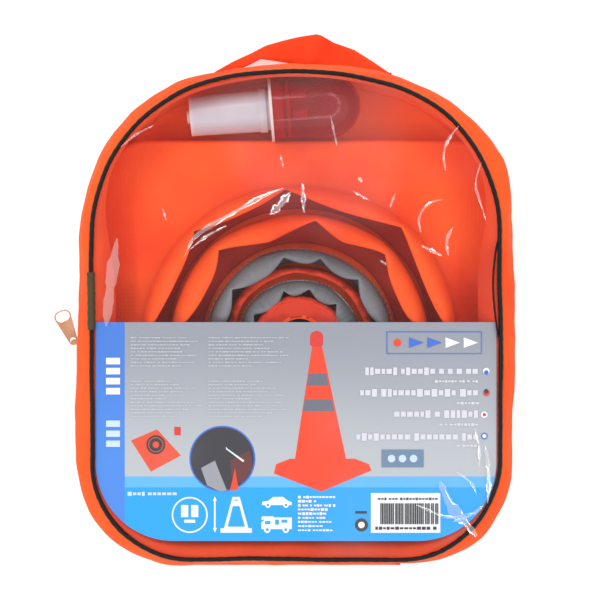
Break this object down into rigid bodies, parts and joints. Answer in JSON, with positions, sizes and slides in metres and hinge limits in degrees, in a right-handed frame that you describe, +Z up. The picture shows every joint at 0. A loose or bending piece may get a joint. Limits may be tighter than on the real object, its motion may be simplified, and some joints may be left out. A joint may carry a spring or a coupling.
{
  "type": "folding traffic cone kit",
  "caption": "Pop-up traffic cone folded flat on its square base, with a battery lamp, packed in a zipped bag with a clear front, a printed card and a carrying handle.",
  "frame": {"origin": "middle of the back panel's underside, where the packed kit rests", "axes": "+X across the bag to its right, +Y along the bag towards its handle, +Z up out of the clear front"},
  "size_m": [0.2558, 0.2976, 0.0453],
  "materials": {
    "orange_cloth": "matte",
    "silver_cloth": "satin",
    "clear_film": "gloss",
    "black_cord": "matte",
    "printed_card": "satin",
    "black_plastic": "matte",
    "zip_plastic": "satin",
    "coppered_metal": "satin",
    "spring_wire": "satin",
    "red_lens": "gloss",
    "white_plastic": "satin",
    "milky_plastic": "satin",
    "rubber": "matte",
    "cell_wrap": "satin",
    "contact_steel": "satin",
    "board_green": "satin",
    "lamp_diode": "gloss"
  },
  "bodies": {
    "bag": {"back_panel": "orange_cloth", "back_gusset": "orange_cloth", "zip_chain_back": "zip_plastic", "zip_tape_back": "zip_plastic", "zip_stop_left": "zip_plastic", "zip_stop_right": "zip_plastic", "hinge_strip": "orange_cloth", "handle_tab_left": "orange_cloth", "handle_tab_right": "orange_cloth", "base_tray": "black_plastic", "base_foot_1": "rubber", "base_foot_2": "rubber", "base_foot_3": "rubber", "base_foot_4": "rubber", "base_cover": "orange_cloth", "sleeve_lower": "orange_cloth", "spring_turn_1": "spring_wire", "lamp_flange": "white_plastic", "seal_ring": "rubber", "battery_tube": "milky_plastic", "switch_body": "black_plastic", "switch_contact": "contact_steel", "battery_1": "cell_wrap", "battery_2": "cell_wrap", "board_contact": "contact_steel", "led_board": "board_green", "led_1": "lamp_diode", "led_2": "lamp_diode", "led_3": "lamp_diode"},
    "front_cover": {"front_gusset": "orange_cloth", "window": "clear_film", "front_piping": "black_cord", "insert_card": "printed_card", "zip_chain_front": "zip_plastic", "zip_tape_front": "zip_plastic"},
    "ring_1": {"sleeve_middle": "orange_cloth", "spring_turn_2": "spring_wire"},
    "ring_2": {"band_lower": "silver_cloth", "spring_turn_3": "spring_wire"},
    "ring_3": {"sleeve_upper": "orange_cloth", "spring_turn_4": "spring_wire"},
    "ring_4": {"band_upper": "silver_cloth", "spring_turn_5": "spring_wire"},
    "ring_5": {"sleeve_top": "orange_cloth", "spring_turn_6": "spring_wire"},
    "cone_cap": {"lamp_collar": "orange_cloth"},
    "slider": {"zip_slider": "coppered_metal", "slider_bridge": "coppered_metal"},
    "pull": {"zip_pull_tab": "coppered_metal"},
    "handle": {"carry_handle": "orange_cloth"},
    "lens": {"lens_dome": "red_lens"},
    "switch": {"switch_button": "rubber"}
  },
  "joints": [
    {"name": "cover_open", "type": "hinge", "parent": "bag", "child": "front_cover", "pos_m": [0, -0.1387, 0.0221], "axis": [1, 0, 0], "range_deg": [0, 174]},
    {"name": "rise_1", "type": "slide", "parent": "bag", "child": "ring_1", "axis": [0, 0, 1], "range_m": [0, 0.0675]},
    {"name": "rise_2", "type": "slide", "parent": "ring_1", "child": "ring_2", "axis": [0, 0, 1], "range_m": [0, 0.0675]},
    {"name": "rise_3", "type": "slide", "parent": "ring_2", "child": "ring_3", "axis": [0, 0, 1], "range_m": [0, 0.0355]},
    {"name": "rise_4", "type": "slide", "parent": "ring_3", "child": "ring_4", "axis": [0, 0, 1], "range_m": [0, 0.04]},
    {"name": "rise_5", "type": "slide", "parent": "ring_4", "child": "ring_5", "axis": [0, 0, 1], "range_m": [0, 0.0315]},
    {"name": "rise_6", "type": "slide", "parent": "ring_5", "child": "cone_cap", "axis": [0, 0, 1], "range_m": [0, 0.0735]},
    {"name": "zip_run", "type": "slide", "parent": "bag", "child": "slider", "axis": [0, 1, 0], "range_m": [-0.052, 0.052]},
    {"name": "pull_swing", "type": "hinge", "parent": "slider", "child": "pull", "pos_m": [-0.1239, -0.0151, 0.0221], "axis": [0, 0, 1], "range_deg": [-14, 130]},
    {"name": "handle_swing", "type": "hinge", "parent": "bag", "child": "handle", "pos_m": [0.004, 0.1382, 0.006], "axis": [1, 0, 0], "range_deg": [0, 55]},
    {"name": "lens_twist", "type": "hinge", "parent": "bag", "child": "lens", "pos_m": [0.011, 0.1164, 0.0192], "axis": [0.9969, 0.0785, 0], "range_deg": [0, 30]},
    {"name": "switch_press", "type": "slide", "parent": "bag", "child": "switch", "axis": [0.9969, 0.0785, 0], "range_m": [0, 0.0012], "stiffness_N_per_m": 300}
  ],
  "couplings": [
    {"joint": "rise_1", "follows": "cover_open", "m_per_rad": 0.022062},
    {"joint": "rise_2", "follows": "cover_open", "m_per_rad": 0.022062},
    {"joint": "rise_3", "follows": "cover_open", "m_per_rad": 0.011525},
    {"joint": "rise_4", "follows": "cover_open", "m_per_rad": 0.013007},
    {"joint": "rise_5", "follows": "cover_open", "m_per_rad": 0.010208},
    {"joint": "rise_6", "follows": "cover_open", "m_per_rad": 0.024038}
  ]
}
